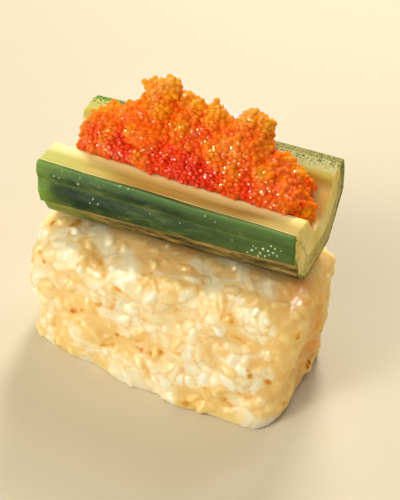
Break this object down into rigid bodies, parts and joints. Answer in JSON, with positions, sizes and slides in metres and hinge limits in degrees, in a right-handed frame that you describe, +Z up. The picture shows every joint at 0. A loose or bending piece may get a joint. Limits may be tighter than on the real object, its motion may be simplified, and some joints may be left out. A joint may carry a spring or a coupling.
{
  "type": "cucumber boat gunkan sushi",
  "caption": "Toasted rice block carrying a hollowed half cucumber lengthwise, its trough heaped with small orange roe.",
  "frame": {"origin": "bottom centre of the whole object's bounding box, on the table", "axes": "+X along the cucumber, +Y across it to the back, +Z up"},
  "size_m": [0.0734, 0.043, 0.0687],
  "materials": {
    "rice": "moist cooked rice, cream with golden toasted patches",
    "cucumber": "satin dark green skin with pale yellow-green cut faces",
    "roe": "wet translucent orange eggs"
  },
  "bodies": {
    "root": {"rice_block": "rice", "cucumber_boat": "cucumber", "roe_heap": "roe"}
  },
  "joints": []
}
